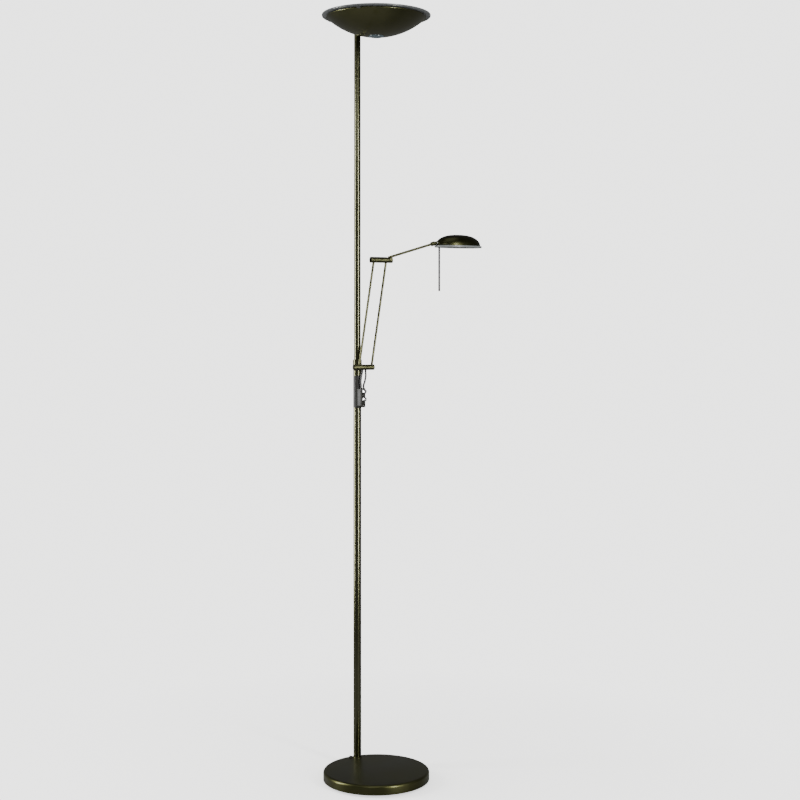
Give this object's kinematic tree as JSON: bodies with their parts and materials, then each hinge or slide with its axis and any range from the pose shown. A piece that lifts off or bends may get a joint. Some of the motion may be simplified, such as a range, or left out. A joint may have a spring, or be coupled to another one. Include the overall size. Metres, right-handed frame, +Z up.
{
  "type": "floor lamp",
  "caption": "Uplighter floor lamp: round base, off-centre pole, glass-covered metal bowl on top and a parallel-rod reading arm with an oval tilting head and two dimmer knobs.",
  "frame": {"origin": "middle of the floor ring's underside, straight below the middle of the bowl", "axes": "+Z up, +Y from the middle of the base towards the pole, +X along the reading arm as shown"},
  "size_m": [0.4601, 0.256, 1.8],
  "materials": {
    "bronze_metal": "dark antique bronze lacquer, satin gloss",
    "black_iron": "black painted casting and plate",
    "black_rubber": "matt black rubber",
    "black_plastic": "moulded black plastic, fine texture",
    "lead_sheath": "black round lead sheath",
    "chrome_trim": "polished chrome",
    "handle_grey": "dark grey satin rod",
    "steel_plain": "zinc plated steel",
    "black_nylon": "black nylon",
    "circuit_board": "green circuit board",
    "pot_metal": "pressed aluminium can",
    "reflector": "bright hammered aluminium",
    "ceramic": "glazed white ceramic",
    "lamp_quartz": "clear quartz lamp glass",
    "satin_glass": "satin etched grey-white glass",
    "blue_lens": "bluish pressed glass"
  },
  "bodies": {
    "lamp_stand": {"base_cover": "bronze_metal", "base_weight": "black_iron", "base_plate": "black_iron", "foot_ring": "black_rubber", "plate_screws": "steel_plain", "pole_nipple": "steel_plain", "nipple_washer": "steel_plain", "nipple_nut": "steel_plain", "cord_gland": "black_plastic", "pole_plug": "steel_plain", "lower_pole": "bronze_metal", "upper_pole": "bronze_metal", "uplight_cable": "lead_sheath", "switch_body": "black_plastic", "switch_cover": "black_plastic", "dimmer_board": "circuit_board", "dimmer_pots": "pot_metal", "cover_screws": "steel_plain", "stop_collar": "bronze_metal", "collar_screw": "steel_plain", "swivel_washer": "black_nylon", "bowl_bracket": "bronze_metal", "bowl_screws": "steel_plain", "uplight_bowl": "bronze_metal", "bowl_lens": "blue_lens", "lens_ring": "steel_plain", "lamp_bracket": "steel_plain", "tube_holders": "ceramic", "halogen_tube": "lamp_quartz", "reflector_pan": "reflector", "glass_disc": "satin_glass", "glass_pads": "black_rubber", "cable_grommet": "black_rubber"},
    "upper_knob": {"upper_knob": "chrome_trim"},
    "lower_knob": {"lower_knob": "chrome_trim"},
    "arm_base": {"swivel_bar": "bronze_metal", "swivel_bush": "black_nylon", "lower_pins": "bronze_metal", "arm_leads": "lead_sheath"},
    "rear_rod": {"rear_rod": "bronze_metal"},
    "front_rod": {"front_rod": "bronze_metal"},
    "upper_link": {"upper_bar": "bronze_metal", "upper_pins": "bronze_metal", "elbow_bolt": "bronze_metal"},
    "reading_arm": {"upper_arm": "bronze_metal"},
    "head_knuckle": {"head_knuckle": "bronze_metal", "tilt_pin": "chrome_trim"},
    "reading_head": {"head_bracket": "steel_plain", "head_shell": "bronze_metal", "shell_nut": "steel_plain", "head_reflector": "reflector", "head_lampholder": "ceramic", "head_bulb": "lamp_quartz", "head_glass": "satin_glass", "glass_nut": "chrome_trim", "head_handle": "handle_grey"}
  },
  "joints": [
    {"name": "arm_swivel", "type": "hinge", "parent": "lamp_stand", "child": "arm_base", "pos_m": [0, 0.108, 0.9697], "axis": [0, 0, 1], "range_deg": [-90, 90], "deforming": ["arm_leads"]},
    {"name": "arm_lift", "type": "hinge", "parent": "arm_base", "child": "rear_rod", "pos_m": [-0.003, 0.092, 0.9697], "axis": [0, 1, 0], "range_deg": [-14, 50]},
    {"name": "front_rod_swing", "type": "hinge", "parent": "arm_base", "child": "front_rod", "pos_m": [0.03, 0.092, 0.9697], "axis": [0, 1, 0], "range_deg": [-14, 50]},
    {"name": "upper_bar_level", "type": "hinge", "parent": "rear_rod", "child": "upper_link", "pos_m": [0.03663, 0.092, 1.22869], "axis": [0, 1, 0], "range_deg": [-50, 14]},
    {"name": "elbow_tilt", "type": "hinge", "parent": "upper_link", "child": "reading_arm", "pos_m": [0.07953, 0.092, 1.23019], "axis": [0, 1, 0], "range_deg": [-36, 56]},
    {"name": "head_turn", "type": "hinge", "parent": "reading_arm", "child": "head_knuckle", "pos_m": [0.20144, 0.092, 1.27279], "axis": [0.9583, 0, 0.2857], "range_deg": [-90, 90]},
    {"name": "head_tilt", "type": "hinge", "parent": "head_knuckle", "child": "reading_head", "pos_m": [0.20767, 0.092, 1.27465], "axis": [0, 1, 0], "range_deg": [-50, 4]},
    {"name": "upper_knob_turn", "type": "hinge", "parent": "lamp_stand", "child": "upper_knob", "pos_m": [0.00972, 0.08715, 0.911], "axis": [0.4226, -0.9063, 0], "range_deg": [0, 270]},
    {"name": "lower_knob_turn", "type": "hinge", "parent": "lamp_stand", "child": "lower_knob", "pos_m": [0.00972, 0.08715, 0.8925], "axis": [0.4226, -0.9063, 0], "range_deg": [0, 270]}
  ],
  "couplings": [
    {"joint": "front_rod_swing", "follows": "arm_lift", "ratio": 1},
    {"joint": "upper_bar_level", "follows": "arm_lift", "ratio": -1}
  ]
}
